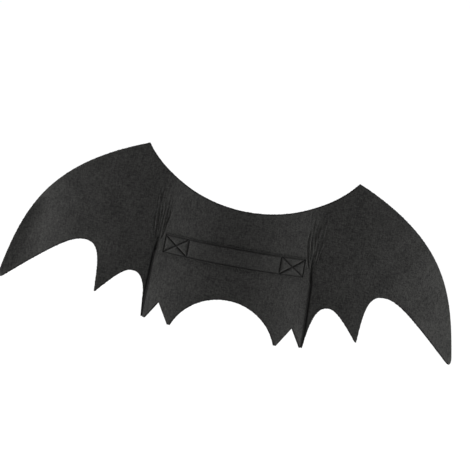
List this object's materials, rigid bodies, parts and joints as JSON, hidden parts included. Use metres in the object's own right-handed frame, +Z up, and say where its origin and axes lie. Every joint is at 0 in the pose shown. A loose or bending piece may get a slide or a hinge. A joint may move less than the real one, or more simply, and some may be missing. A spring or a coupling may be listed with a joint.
{
  "type": "pet costume bat wings",
  "caption": "Black felt bat wings worn on a pet's back: scalloped wings and an arched saddle cut as a single sheet, with a band sewn across it and a girth strap to hold it on.",
  "frame": {"origin": "middle of the saddle's inner face, at the height of the sewn band, where it rests on the back", "axes": "+X along the span to the right as seen from outside, +Z up towards the neck, +Y into the wearer, so the felt's outside faces -Y"},
  "size_m": [0.4654, 0.1796, 0.1754],
  "materials": {
    "felt": "needle-punched black felt, matt, cut edges left raw",
    "band_felt": "strip of the same black felt, sewn down with black thread",
    "webbing": "plain woven black webbing"
  },
  "bodies": {
    "root": {"wing_sheet": "felt", "back_band": "band_felt", "girth_strap": "webbing"}
  },
  "joints": []
}
